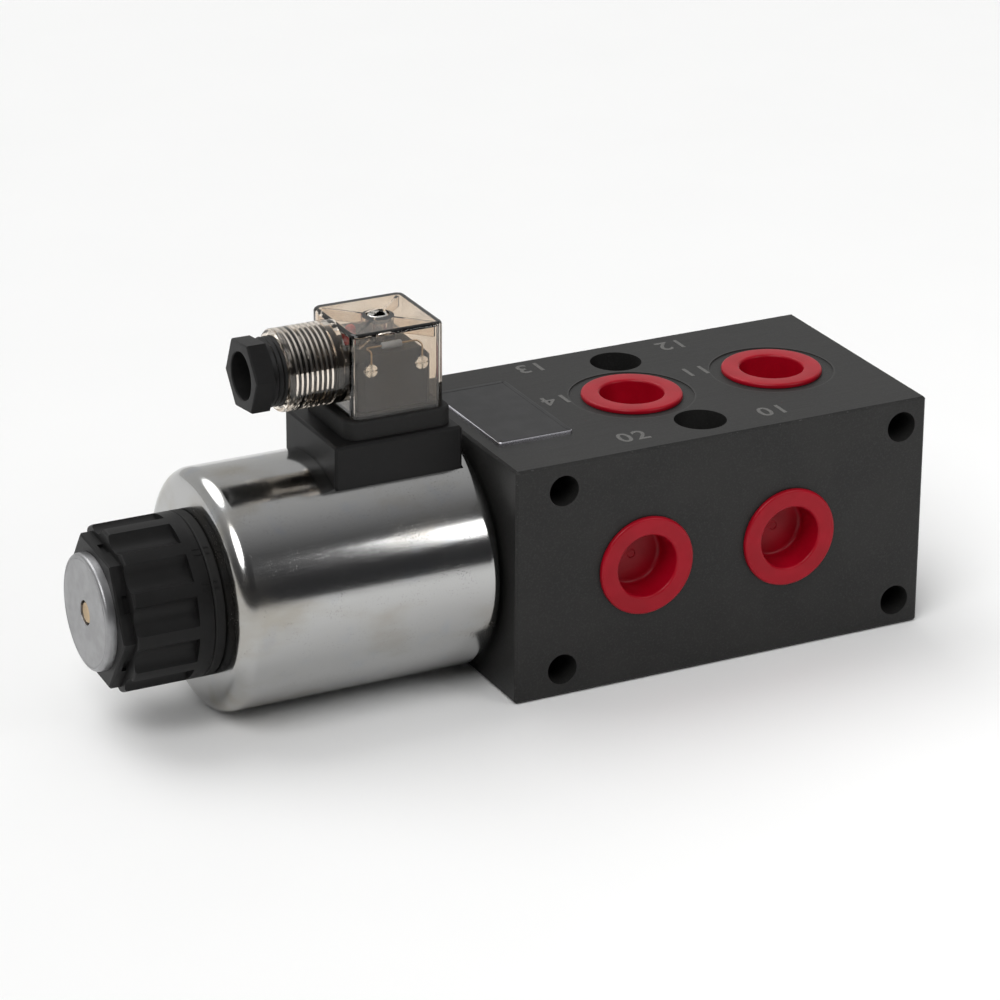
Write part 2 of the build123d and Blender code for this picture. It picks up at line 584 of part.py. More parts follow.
with BuildPart() as coil_seal:
    bar(SPOOL_LINE, COIL_RIGHT, LEFT, TUBE_R + COIL_SEAL_WIDTH)
    hole(SPOOL_LINE, COIL_RIGHT - 1, LEFT + 1, TUBE_R + EASY)
coil_seal.part.label = "coil_seal"
export_step(coil_seal.part, "parts/coil_seal.step")

# ---------------------------------------------------------------- coil nut
with BuildPart() as nut_seal:
    bar(SPOOL_LINE, NUT_SEAL_LEFT, COIL_LEFT, NUT_BODY_R)
    chamfer(rims(nut_seal, SPOOL_LINE, NUT_SEAL_LEFT, NUT_BODY_R), NUT_PARTING_CHAMFER)
    chamfer(rims(nut_seal, SPOOL_LINE, COIL_LEFT, NUT_BODY_R), NUT_PARTING_CHAMFER)
    hole(SPOOL_LINE, NUT_SEAL_LEFT - 1, COIL_LEFT + 1, TUBE_R + EASY)
nut_seal.part.label = "nut_seal"
export_step(nut_seal.part, "parts/nut_seal.step")

with BuildPart() as coil_nut:
    bar(SPOOL_LINE, NUT_FLUTE_LEFT, NUT_SEAL_LEFT, NUT_BODY_R)
    fillet(rims(coil_nut, SPOOL_LINE, NUT_FLUTE_LEFT, NUT_BODY_R), NUT_EDGE_FILLET)
    chamfer(rims(coil_nut, SPOOL_LINE, NUT_SEAL_LEFT, NUT_BODY_R), NUT_PARTING_CHAMFER)
    with BuildSketch(SPOOL_LINE.offset(NUT_FLUTE_LEFT)):
        with PolarLocations(NUT_BODY_R + NUT_FLUTE_R - NUT_FLUTE_DEPTH, NUT_FLUTES, NUT_FLUTE_ANGLE):
            Circle(NUT_FLUTE_R)
    extrude(amount=NUT_FLUTED_LENGTH, mode=Mode.SUBTRACT)
    with BuildSketch(SPOOL_LINE.offset(NUT_LEFT)):
        RegularPolygon(NUT_HEX_CORNER_R, 6, rotation=NUT_HEX_ANGLE)
    extrude(amount=NUT_HEX_LENGTH + NUT_POCKET_LENGTH)
    hex_face = coil_nut.faces().filter_by(Axis.X).sort_by(Axis.X)[0]
    chamfer(hex_face.edges(), NUT_EDGE_FILLET / 2)
    # a small pocket in each flat of the hexagon, in front of the fluted body
    flat_r = NUT_HEX_CORNER_R * cos(pi / 6)
    for flat in range(6):
        angle = NUT_HEX_ANGLE + 30 + 60 * flat
        pocket = Plane(origin=(NUT_FLUTE_LEFT - NUT_POCKET_LENGTH / 2, flat_r * cos(radians(angle)),
                               BORE_Z + flat_r * sin(radians(angle))),
                       x_dir=(1, 0, 0), z_dir=(0, cos(radians(angle)), sin(radians(angle))))
        with Locations(pocket.location):
            Box(NUT_POCKET_LENGTH, NUT_POCKET_WIDTH, 2 * NUT_POCKET_DEPTH, mode=Mode.SUBTRACT)
    hole(SPOOL_LINE, NUT_LEFT - 1, NUT_SEAL_LEFT + 1, TUBE_R + GUIDE)
coil_nut.part.label = "coil_nut"
export_step(coil_nut.part, "parts/coil_nut.step")

# ---------------------------------------------------------------- connector base, blades and gasket
# Each blade place is x, y, and its size along x and y.
BLADES = [
    (COVER_X - BLADE_SPACING / 2, 0, BLADE_THICKNESS, BLADE_WIDTH),
    (COVER_X + BLADE_SPACING / 2, 0, BLADE_THICKNESS, BLADE_WIDTH),
    (COVER_X, BLADE_SPACING / 2, BLADE_WIDTH, BLADE_THICKNESS),
]
BLADE_FOOT = BASE_TOP - BLADE_EMBEDDED
CLIP_BOTTOM = GASKET_TOP + TERMINAL_RIM_HEIGHT

with BuildPart() as connector_base:
    block_of(BASE_X, 0, BORE_Z, BASE_TOP, BASE_LENGTH, BASE_DEPTH)
    chamfer(connector_base.edges().filter_by(Axis.Z), BASE_CHAMFER)
    chamfer(connector_base.faces().sort_by(Axis.Z)[-1].edges(), BASE_CHAMFER)
    hole(SPOOL_LINE, BASE_X - BASE_LENGTH, BASE_X + BASE_LENGTH, COIL_CAVITY_R)
    for x, y, length, depth in BLADES:
        block_of(x, y, BLADE_FOOT, BASE_TOP + 1, length, depth, mode=Mode.SUBTRACT)
    hole(COVER_SCREW_LINE, BASE_TOP - INSERT_LENGTH, BASE_TOP + 1, INSERT_R)
    hole(COVER_SCREW_LINE, BASE_TOP - INSERT_LENGTH - INSERT_SPARE, BASE_TOP, SCREW_R + EASY)
connector_base.part.label = "connector_base"
export_step(connector_base.part, "parts/connector_base.step")

with BuildPart() as terminal_blades:
    for x, y, length, depth in BLADES:
        block_of(x, y, BLADE_FOOT, BLADE_FOOT + BLADE_LENGTH, length, depth)
terminal_blades.part.label = "terminal_blades"
export_step(terminal_blades.part, "parts/terminal_blades.step")

with BuildPart() as threaded_insert:
    bar(COVER_SCREW_LINE, BASE_TOP - INSERT_LENGTH, BASE_TOP, INSERT_R - SEAL_GAP)
    hole(COVER_SCREW_LINE, BASE_TOP - INSERT_LENGTH - 1, BASE_TOP + 1, SCREW_R + GUIDE)
threaded_insert.part.label = "threaded_insert"
export_step(threaded_insert.part, "parts/threaded_insert.step")

with BuildPart() as connector_gasket:
    with BuildSketch(Plane((COVER_X, 0, BASE_TOP))):
        RectangleRounded(GASKET_LENGTH, GASKET_DEPTH, GASKET_CORNER_R)
    extrude(amount=GASKET_HEIGHT)
    fillet(connector_gasket.faces().sort_by(Axis.Z)[-1].edges(), GASKET_EDGE_FILLET)
    for x, y, length, depth in BLADES:
        block_of(x, y, BASE_TOP - 1, GASKET_TOP + 1, length + 2 * EASY, depth + 2 * EASY, mode=Mode.SUBTRACT)
    hole(COVER_SCREW_LINE, BASE_TOP - 1, GASKET_TOP + 1, SCREW_R + EASY)
connector_gasket.part.label = "connector_gasket"
export_step(connector_gasket.part, "parts/connector_gasket.step")

# ---------------------------------------------------------------- connector cover and its contents
inside_length = COVER_LENGTH - 2 * COVER_WALL
inside_depth = COVER_DEPTH - 2 * COVER_WALL
with BuildPart() as connector_cover:
    with BuildSketch(Plane((COVER_X, 0, GASKET_TOP))):
        RectangleRounded(COVER_LENGTH, COVER_DEPTH, COVER_CORNER_R)
    extrude(amount=COVER_HEIGHT)
    fillet(connector_cover.faces().sort_by(Axis.Z)[-1].edges(), COVER_TOP_FILLET)
    bar(GLAND_LINE, NECK_LEFT, COVER_LEFT + COVER_WALL, NECK_R)
    fillet(rims(connector_cover, GLAND_LINE, NECK_LEFT, NECK_R), NECK_RIM_FILLET)
    with BuildSketch(Plane((COVER_X, 0, GASKET_TOP))):
        RectangleRounded(inside_length, inside_depth, COVER_CORNER_R - COVER_WALL)
    extrude(amount=COVER_HEIGHT - COVER_WALL, mode=Mode.SUBTRACT)
    # ribs run from the screw boss to the four corners, under the top
    with BuildSketch(Plane((COVER_X, 0, COVER_INSIDE_TOP - COVER_RIB_HEIGHT))):
        for angle in (45, 135):
            Rectangle(COVER_RIB_REACH * inside_length, COVER_RIB_THICKNESS, rotation=angle)
    extrude(amount=COVER_RIB_HEIGHT)
    bar(COVER_SCREW_LINE, TERMINAL_TOP, COVER_INSIDE_TOP, COVER_BOSS_R)
    hole(COVER_SCREW_LINE, TERMINAL_TOP - 1, COVER_TOP + 1, SCREW_R + EASY)
    hole(COVER_SCREW_LINE, COVER_TOP - SCREW_RECESS_DEPTH, COVER_TOP + 1, SCREW_RECESS_R)
    hole(GLAND_LINE, NECK_LEFT - 1, NECK_STOP, NECK_BORE_R)
    hole(GLAND_LINE, NECK_STOP, COVER_LEFT + COVER_WALL, NECK_STOP_R)
    neck_thread = thread_outline(NECK_LEFT + NECK_THREAD_START, NECK_STOP - 1, NECK_BORE_R,
                                 NECK_BORE_R + THREAD_DEPTH, NECK_BORE_R - 1)
    turned(neck_thread, GLAND_Z, mode=Mode.SUBTRACT)
connector_cover.part.label = "connector_cover"
export_step(connector_cover.part, "parts/connector_cover.step")

terminal_screw_z = TERMINAL_TOP - TERMINAL_SCREW_DROP
half_spacing = TERMINAL_SCREW_SPACING / 2
SCREW_LINES = [
    Plane((COVER_X - half_spacing, TERMINAL_FRONT, terminal_screw_z), x_dir=(1, 0, 0), z_dir=(0, -1, 0)),
    Plane((COVER_X + half_spacing, TERMINAL_FRONT, terminal_screw_z), x_dir=(1, 0, 0), z_dir=(0, -1, 0)),
    Plane((COVER_X, -TERMINAL_FRONT, terminal_screw_z), x_dir=(1, 0, 0), z_dir=(0, 1, 0)),
]
clip_skin = GUIDE + CLIP_WALL
CLIP_TOP = CLIP_BOTTOM + CLIP_LENGTH
with BuildPart() as terminal_block:
    block_of(COVER_X, 0, GASKET_TOP, TERMINAL_TOP, TERMINAL_LENGTH, TERMINAL_DEPTH)
    chamfer(terminal_block.edges().filter_by(Axis.Z), TERMINAL_CHAMFER / 2)
    side_tops = terminal_block.faces().sort_by(Axis.Z)[-1].edges().filter_by(Axis.Y)
    chamfer(side_tops, TERMINAL_CHAMFER)
    with BuildSketch(Plane((COVER_X, 0, GASKET_TOP))):
        RectangleRounded(inside_length - 2 * EASY, inside_depth - 2 * EASY, COVER_CORNER_R - COVER_WALL)
    extrude(amount=TERMINAL_RIM_HEIGHT)
    for x, y, length, depth in BLADES:
        block_of(x, y, GASKET_TOP - 1, CLIP_TOP + 1, length + 2 * EASY, depth + 2 * EASY, mode=Mode.SUBTRACT)
        block_of(x, y, CLIP_BOTTOM, CLIP_TOP, length + 2 * clip_skin, depth + 2 * clip_skin, mode=Mode.SUBTRACT)
    hole(COVER_SCREW_LINE, GASKET_TOP - 1, TERMINAL_TOP + 1, SCREW_R + EASY)
    for line in SCREW_LINES:
        hole(line, -TERMINAL_SCREW_SINK, 1, TERMINAL_SCREW_R + SEAL_GAP)
terminal_block.part.label = "terminal_block"
export_step(terminal_block.part, "parts/terminal_block.step")

with BuildPart() as contact_clips:
    for x, y, length, depth in BLADES:
        block_of(x, y, CLIP_BOTTOM, CLIP_TOP, length + 2 * clip_skin, depth + 2 * clip_skin)
        block_of(x, y, CLIP_BOTTOM - 1, CLIP_TOP + 1, length + 2 * GUIDE, depth + 2 * GUIDE,
                 mode=Mode.SUBTRACT)
contact_clips.part.label = "contact_clips"
export_step(contact_clips.part, "parts/contact_clips.step")

with BuildPart() as terminal_screws:
    for line in SCREW_LINES:
        bar(line, -TERMINAL_SCREW_SINK, TERMINAL_SCREW_PROUD, TERMINAL_SCREW_R)
        with Locations(line.offset(TERMINAL_SCREW_PROUD).location):
            Box(2 * TERMINAL_SCREW_R + 1, TERMINAL_SLOT_WIDTH, 2 * TERMINAL_SLOT_DEPTH, mode=Mode.SUBTRACT)
            Box(TERMINAL_SLOT_WIDTH, 2 * TERMINAL_SCREW_R + 1, 2 * TERMINAL_SLOT_DEPTH, mode=Mode.SUBTRACT)
terminal_screws.part.label = "terminal_screws"
export_step(terminal_screws.part, "parts/terminal_screws.step")

led_line = Plane((COVER_X - LED_OFFSET, 0, TERMINAL_TOP))
with BuildPart() as indicator_led:
    bar(led_line, 0, LED_RIM_HEIGHT, LED_R + LED_RIM_WIDTH)
    bar(led_line, LED_RIM_HEIGHT, LED_HEIGHT, LED_R)
    fillet(rims(indicator_led, led_line, LED_HEIGHT, LED_R), LED_R - LED_RIM_WIDTH)
indicator_led.part.label = "indicator_led"
export_step(indicator_led.part, "parts/indicator_led.step")

resistor_z = TERMINAL_TOP + RESISTOR_R + SEAL_GAP
resistor_line = Plane((COVER_X, RESISTOR_Y, resistor_z), x_dir=(0, 1, 0), z_dir=(1, 0, 0))
with BuildPart() as resistor:
    bar(resistor_line, -RESISTOR_LENGTH / 2, RESISTOR_LENGTH / 2, RESISTOR_R)
    fillet(resistor.edges().filter_by(GeomType.CIRCLE), RESISTOR_R / 2)
resistor.part.label = "resistor"
export_step(resistor.part, "parts/resistor.step")

lead_y = TERMINAL_FRONT - TERMINAL_SCREW_PROUD / 2 - LEAD_R
lead_foot = terminal_screw_z + TERMINAL_SCREW_R + SEAL_GAP
with BuildPart() as component_leads:
    for side in (-1, 1):
        lead_x = COVER_X + side * half_spacing
        start_x = COVER_X + side * RESISTOR_LENGTH / 2
        with BuildLine():
            lead_path = FilletPolyline((start_x, RESISTOR_Y, resistor_z), (lead_x, RESISTOR_Y, resistor_z),
                                       (lead_x, lead_y, resistor_z), (lead_x, lead_y, lead_foot),
                                       radius=LEAD_BEND_R)
        with BuildSketch(Plane(lead_path @ 0, z_dir=lead_path % 0)):
            Circle(LEAD_R)
        sweep(path=lead_path)
component_leads.part.label = "component_leads"
export_step(component_leads.part, "parts/component_leads.step")

screw_seat = COVER_TOP - SCREW_RECESS_DEPTH
with BuildPart() as screw_seal:
    bar(COVER_SCREW_LINE, screw_seat, screw_seat + SCREW_SEAL_THICKNESS, SCREW_HEAD_R + EASY)
    hole(COVER_SCREW_LINE, screw_seat - 1, screw_seat + 1, SCREW_R + EASY)
screw_seal.part.label = "screw_seal"
export_step(screw_seal.part, "parts/screw_seal.step")

with BuildPart() as cover_screw:
    head_bottom = screw_seat + SCREW_SEAL_THICKNESS
    head_top = head_bottom + SCREW_HEAD_HEIGHT
    bar(COVER_SCREW_LINE, BASE_TOP - INSERT_LENGTH + 1, head_bottom, SCREW_R)
    bar(COVER_SCREW_LINE, head_bottom, head_top, SCREW_HEAD_R)
    fillet(rims(cover_screw, COVER_SCREW_LINE, head_top, SCREW_HEAD_R), SCREW_HEAD_FILLET)
    with Locations((COVER_X, 0, head_top)):
        for angle in (0, 90):
            Box(2 * SCREW_SLOT_REACH, SCREW_SLOT_WIDTH, 2 * SCREW_SLOT_DEPTH,
                rotation=(0, 0, SCREW_SLOT_ANGLE + angle), mode=Mode.SUBTRACT)
cover_screw.part.label = "cover_screw"
export_step(cover_screw.part, "parts/cover_screw.step")

# ---------------------------------------------------------------- cable gland
gland_thread_r = NECK_BORE_R - GUIDE
with BuildPart() as gland_nut:
    with BuildSketch(GLAND_LINE.offset(GLAND_LEFT)):
        RegularPolygon(GLAND_HEX_CORNER_R, 6, rotation=GLAND_HEX_ANGLE)
    extrude(amount=GLAND_HEX_LENGTH)
    chamfer(gland_nut.faces().sort_by(Axis.X)[0].edges(), GLAND_EDGE)
    bar(GLAND_LINE, GLAND_HEX_RIGHT, GLAND_RIGHT, gland_thread_r - THREAD_DEPTH)
    gland_thread = thread_outline(GLAND_HEX_RIGHT + GLAND_THREAD_START, GLAND_RIGHT,
                                  gland_thread_r - THREAD_DEPTH, gland_thread_r, GLAND_HOLE_R + 1)
    turned(gland_thread, GLAND_Z)
    hole(GLAND_LINE, GLAND_LEFT - 1, GLAND_RIGHT + 1, GLAND_HOLE_R)
    chamfer(rims(gland_nut, GLAND_LINE, GLAND_LEFT, GLAND_HOLE_R), GLAND_EDGE)
gland_nut.part.label = "gland_nut"
export_step(gland_nut.part, "parts/gland_nut.step")

with BuildPart() as gland_washer:
    bar(GLAND_LINE, GLAND_RIGHT, GROMMET_LEFT, NECK_BORE_R - EASY)
    hole(GLAND_LINE, GLAND_RIGHT - 1, GROMMET_LEFT + 1, GLAND_WASHER_HOLE_R)
gland_washer.part.label = "gland_washer"
export_step(gland_washer.part, "parts/gland_washer.step")

with BuildPart() as gland_grommet:
    bar(GLAND_LINE, GROMMET_LEFT, NECK_STOP, NECK_BORE_R - EASY)
    chamfer(rims(gland_grommet, GLAND_LINE, GROMMET_LEFT, NECK_BORE_R - EASY), THREAD_LEAD)
    hole(GLAND_LINE, GROMMET_LEFT - 1, NECK_STOP + 1, GROMMET_HOLE_R)
gland_grommet.part.label = "gland_grommet"
export_step(gland_grommet.part, "parts/gland_grommet.step")

# ---------------------------------------------------------------- red port plugs
for name, port in PORTS.items():
    seat = -TOP_SPOTFACE_DEPTH if name.startswith("top") else 0
    face = seat + CAP_FLANGE_THICKNESS
    with BuildPart() as port_plug:
        bar(port, seat, face, CAP_FLANGE_R)
        fillet(rims(port_plug, port, face, CAP_FLANGE_R), CAP_LIP_FILLET)
        bar(port, seat - CAP_LENGTH, seat, PORT_MAJOR_R - CAP_CLEARANCE)
        chamfer(rims(port_plug, port, seat - CAP_LENGTH, PORT_MAJOR_R - CAP_CLEARANCE), CAP_LIP_FILLET)
        hole(port, face - CAP_RECESS_DEPTH, face + 1, CAP_RECESS_R)
        fillet(rims(port_plug, port, face, CAP_RECESS_R), CAP_LIP_FILLET)
        fillet(rims(port_plug, port, face - CAP_RECESS_DEPTH, CAP_RECESS_R), CAP_LIP_FILLET)
    port_plug.part.label = "port_plug_" + name
    export_step(port_plug.part, f"parts/port_plug_{name}.step")
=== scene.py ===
import json
from math import cos, pi, radians, sin

import bmesh
import bpy
from mathutils import Matrix, Vector


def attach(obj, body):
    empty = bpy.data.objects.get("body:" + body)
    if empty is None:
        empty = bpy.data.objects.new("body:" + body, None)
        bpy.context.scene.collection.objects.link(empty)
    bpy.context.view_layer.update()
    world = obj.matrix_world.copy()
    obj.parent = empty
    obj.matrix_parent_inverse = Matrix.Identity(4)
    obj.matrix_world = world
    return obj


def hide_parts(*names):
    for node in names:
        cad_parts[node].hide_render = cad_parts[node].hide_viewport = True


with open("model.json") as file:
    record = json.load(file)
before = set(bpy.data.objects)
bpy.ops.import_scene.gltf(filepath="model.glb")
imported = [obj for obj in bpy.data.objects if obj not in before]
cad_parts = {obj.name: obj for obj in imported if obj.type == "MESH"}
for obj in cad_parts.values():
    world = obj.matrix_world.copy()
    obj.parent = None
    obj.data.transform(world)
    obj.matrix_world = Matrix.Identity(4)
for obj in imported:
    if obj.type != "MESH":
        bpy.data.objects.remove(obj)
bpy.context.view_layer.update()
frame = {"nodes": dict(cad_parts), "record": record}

# Six-port solenoid valve. Lengths are in millimetres until a mesh is placed. The origin is the centre
# of the block's bottom face, +X runs along the spool away from the coil, and +Y is the back.
MM = 0.001

# ------------------------------------------------------------ camera
CAMERA_AZIMUTH = radians(-26.76)
CAMERA_HEIGHT_ANGLE = radians(22.78)
CAMERA_ROLL = radians(0.31)
CAMERA_DISTANCE = 1192.0
CAMERA_ACROSS = -4.2
CAMERA_UP = 57.2
LENS = 153.93
BLOCK_CORNER = Vector((-65.5, -38.0, 0.0))

toward = Vector((sin(CAMERA_AZIMUTH) * cos(CAMERA_HEIGHT_ANGLE),
                 -cos(CAMERA_AZIMUTH) * cos(CAMERA_HEIGHT_ANGLE), sin(CAMERA_HEIGHT_ANGLE)))
level_right = (-toward).cross(Vector((0, 0, 1))).normalized()
level_up = level_right.cross(-toward)
right = cos(CAMERA_ROLL) * level_right + sin(CAMERA_ROLL) * level_up
up = -sin(CAMERA_ROLL) * level_right + cos(CAMERA_ROLL) * level_up
eye = BLOCK_CORNER + CAMERA_DISTANCE * toward + CAMERA_ACROSS * right + CAMERA_UP * up

camera = bpy.data.objects.new("camera", bpy.data.cameras.new("camera"))
camera.data.lens = LENS
camera.data.sensor_width = 36.0
camera.data.clip_end = 50
facing_block = Matrix((right, up, toward)).transposed().to_4x4()
camera.matrix_world = Matrix.Translation(eye * MM) @ facing_block
bpy.context.scene.collection.objects.link(camera)
bpy.context.scene.camera = camera

# ------------------------------------------------------------ the valve's own sizes
BLOCK = Vector((131.0, 76.0, 70.0))
AXIS_HEIGHT = 35.0
TOP_PORTS = ((-9.5, 0), (36.4, 0))
SPOTFACE_R = 18.0
PLATE_TOP = 71.0
TUBE_END = -177.7
COIL_LEFT, COIL_RIGHT, COIL_R = -145.7, -66.9, 34.4
NUT_SEAM = -148.8
NUT_R = 23.3


# ------------------------------------------------------------ finishes
class Wire:
    """A shader socket that takes part in Python sums, each of which adds its Math node."""

    def __init__(self, finish, socket):
        self.finish, self.socket = finish, socket

    def sum(self, operation, *values):
        return self.finish.node("Math", {"operation": operation}, dict(enumerate(values)))

    def __add__(self, other):
        return self.sum("ADD", self, other)

    __radd__ = __add__

    def __sub__(self, other):
        return self.sum("SUBTRACT", self, other)

    def __rsub__(self, other):
        return self.sum("SUBTRACT", other, self)

    def __mul__(self, other):
        return self.sum("MULTIPLY", self, other)

    __rmul__ = __mul__

    def __truediv__(self, other):
        return self.sum("DIVIDE", self, other)

    def __abs__(self):
        return self.sum("ABSOLUTE", self)

    def least(self, other):
        return self.sum("MINIMUM", self, other)

    def most(self, other):
        return self.sum("MAXIMUM", self, other)

    def sine(self):
        return self.sum("SINE", self)

    def root(self):
        return self.sum("SQRT", self)

    def fade(self, start, end, low=0.0, high=1.0):
        """A smooth change from low to high as the value goes from start to end."""
        return self.finish.node("MapRange", {"interpolation_type": "SMOOTHSTEP"},
                                {0: self, 1: start, 2: end, 3: low, 4: high})


class Nodes:
    """A node tree, and the one way in which it gets its nodes."""

    def __init__(self, tree):
        self.tree = tree

    def node(self, kind, settings=None, inputs=None, output=0):
        """Any shader node: its settings first, then the values or wires of its sockets."""
        made = self.tree.nodes.new("ShaderNode" + kind)
        for name, value in (settings or {}).items():
            if name == "stops":
                ramp = made.color_ramp
                while len(ramp.elements) < len(value):
                    ramp.elements.new(0.5)
                for element, (position, colour) in zip(ramp.elements, value):
                    element.position, element.color = position, (*colour, 1)
            else:
                setattr(made, name, value)
        for name, value in (inputs or {}).items():
            if isinstance(value, Wire):
                self.tree.links.new(value.socket, made.inputs[name])
            else:
                made.inputs[name].default_value = value
        return Wire(self, made.outputs[output])

    def blend(self, mask, first, second):
        """A colour that goes from first to second as the mask goes from 0 to 1."""
        first, second = (c if isinstance(c, Wire) else (*c, 1) for c in (first, second))
        return self.node("Mix", {"data_type": "RGBA"}, {0: mask, 6: first, 7: second}, output=2)


class Finish(Nodes):
    """One material, its shader, and the nodes that vary it over a surface. Lengths are millimetres."""

    def __init__(self, name, **constants):
        self.material = bpy.data.materials.new(name)
        self.material.use_nodes = True
        super().__init__(self.material.node_tree)
        self.shader = self.tree.nodes["Principled BSDF"]
        for socket, value in constants.items():
            self.shader.inputs[socket.replace("_", " ")].default_value = value
        self.place = self.node("TexCoord", output="Object")
        self.x, self.y, self.z = (self.node("SeparateXYZ", inputs={0: self.place}, output=axis) / MM
                                  for axis in range(3))

    def grain(self, size, stretch=(1, 1, 1), detail=3.0, rough=0.5):
        """Soft random values from 0 to 1 whose spots are about one size across."""
        scale = [1 / (along * size * MM) for along in stretch]
        scaled = self.node("Mapping", inputs={"Vector": self.place, "Scale": scale})
        return self.node("TexNoise", inputs={"Vector": scaled, "Scale": 1.0, "Detail": detail,
                                             "Roughness": rough})

    def pits(self, size):
        """Distance to scattered points, for small pits and specks."""
        scaled = self.node("Mapping", inputs={"Vector": self.place, "Scale": [1 / (size * MM)] * 3})
        return self.node("TexVoronoi", inputs={"Vector": scaled, "Scale": 1.0})

    def feed(self, **wires):
        """Connects what varies to the shader's sockets."""
        for name, wire in wires.items():
            self.tree.links.new(wire.socket, self.shader.inputs[name.replace("_", " ")])
        return self

    def raise_surface(self, height, depth, strength):
        """A bump as deep as the depth says where the height is 1."""
        bump = self.node("Bump", inputs={"Height": height, "Distance": depth * MM,
                                         "Strength": strength})
        return self.feed(Normal=bump)

    def radius_from(self, x, y):
        """The distance from an upright line."""
        dx, dy = self.x - x, self.y - y
        return (dx * dx + dy * dy).root()

    def radius_from_axis(self):
        """The distance from the spool's line."""
        dz = self.z - AXIS_HEIGHT
        return (self.y * self.y + dz * dz).root()


def turned_rings(radius, pitch):
    """The fine rings that a lathe leaves."""
    return (radius * (2 * pi / pitch)).sine()


def oxide_black_steel():
    """Black oxide on machined steel, worn to grey along the block's edges."""
    f = Finish("oxide_black_steel", Metallic=0.0, Specular_IOR_Level=0.30)
    dx = BLOCK.x / 2 - abs(f.x)
    dy = BLOCK.y / 2 - abs(f.y)
    dz = BLOCK.z / 2 - abs(f.z - AXIS_HEIGHT)
    from_edge = dx.least(dy).most(dx.most(dy).least(dz))
    cloud = f.grain(14, detail=4)
    speck = f.grain(0.45, detail=2)
    milled = f.grain(0.5, stretch=(36, 1, 1), detail=2)
    patchy = f.grain(4).fade(0.35, 0.65, 0.25, 1.0)
    wear = (from_edge - speck * 0.35).fade(-0.10, 0.12, 1.0, 0.0) * patchy
    nicked = f.grain(1.1, detail=3).fade(0.62, 0.70)
    nick = (from_edge - cloud * 0.5).fade(0.0, 0.4, 1.0, 0.0) * nicked
    scuff = f.grain(0.9, stretch=(9, 5, 1), detail=5, rough=0.7).fade(0.70, 0.80)
    coat = f.blend(cloud.fade(0.3, 0.7), (0.0125, 0.0122, 0.0118), (0.0175, 0.0170, 0.0162))
    coat = f.blend(speck.fade(0.45, 0.75) * 0.6, coat, (0.030, 0.0295, 0.0285))
    rings = rims = 0.0
    for x, y in TOP_PORTS:
        r = f.radius_from(x, y)
        on_top = f.z.fade(BLOCK.z - 1.0, BLOCK.z - 0.6)
        inside = r.fade(SPOTFACE_R - 0.4, SPOTFACE_R, 1.0, 0.0)
        rings = rings + turned_rings(r, 0.55) * inside * on_top
        rims = rims + abs(r - SPOTFACE_R - 0.1).fade(0.1, 0.5, 1.0, 0.0) * on_top
    bare = wear * 0.20 + nick * 0.28 + scuff * 0.05 + rims * 0.08
    worn = f.blend(bare, coat, (0.22, 0.216, 0.21))
    rough = 0.40 + cloud * 0.12 + milled * 0.10 - wear * 0.10
    height = milled * 0.5 + speck * 0.35 + rings * 0.3
    return f.feed(Base_Color=worn, Roughness=rough).raise_surface(height, 0.03, 0.8)


def bright_coil_plate():
    """Bright plating on a drawn steel case, with streaks along the coil, pits and faint stains."""
    f = Finish("bright_coil_plate", Metallic=1.0)
    streak = f.grain(0.35, stretch=(14, 1, 1), detail=3)
    waves = f.grain(7, stretch=(2.2, 1, 1), detail=2)
    stain = f.grain(16, stretch=(2, 1, 1), detail=5).fade(0.5, 0.75)
    pit = f.pits(0.75).fade(0.10, 0.32, 1.0, 0.0) * f.grain(5).fade(0.45, 0.62)
    metal = f.blend(stain, (0.44, 0.44, 0.435), (0.37, 0.35, 0.31))
    metal = f.blend(f.grain(9, detail=4).fade(0.55, 0.8) * 0.5, metal, (0.36, 0.39, 0.44))
    metal = f.blend(pit * 0.35, metal, (0.18, 0.17, 0.16))
    rough = 0.10 + streak * 0.07 + stain * 0.08 + pit * 0.12
    height = streak * 0.30 + waves * 1.6 - pit * 0.8
    return f.feed(Base_Color=metal, Roughness=rough).raise_surface(height, 0.012, 0.7)


def satin_nickel():
    """Satin nickel on the pressure tube, with fine turning rings on its end."""
    f = Finish("satin_nickel", Metallic=1.0)
    turning = turned_rings(f.radius_from_axis(), 0.16)
    speck = f.grain(0.35, detail=2)
    cloud = f.grain(5, detail=4)
    metal = f.blend(cloud.fade(0.35, 0.7), (0.35, 0.35, 0.357), (0.295, 0.295, 0.299))
    scratch = f.grain(1.2, detail=5, rough=0.7).fade(0.66, 0.76)
    metal = f.blend(scratch * 0.5, metal, (0.21, 0.20, 0.19))
    rough = 0.30 + speck * 0.10 + cloud * 0.08
    height = turning * 0.25 + speck * 0.8
    return f.feed(Base_Color=metal, Roughness=rough).raise_surface(height, 0.006, 0.8)


def moulded_black(name, colour, gloss, spark):
    """Glass-filled black plastic with a fine moulded texture, scuffed where it is handled."""
    f = Finish(name, Metallic=0.0, Specular_IOR_Level=spark)
    texture = f.grain(0.28, detail=2)
    cloud = f.grain(6, detail=4)
    scuff = f.grain(0.7, stretch=(6, 1, 2), detail=5, rough=0.7).fade(0.64, 0.76)
    dust = f.grain(1.5, detail=5).fade(0.60, 0.8)
    light = tuple(c * 2.0 + 0.010 for c in colour)
    coat = f.blend(cloud.fade(0.35, 0.7) * 0.6, colour, tuple(c * 1.35 for c in colour))
    coat = f.blend(scuff * 0.35 + dust * 0.18, coat, light)
    rough = gloss + texture * 0.12 + scuff * 0.10 + cloud * 0.06
    return f.feed(Base_Color=coat, Roughness=rough).raise_surface(texture, 0.02, 0.8)


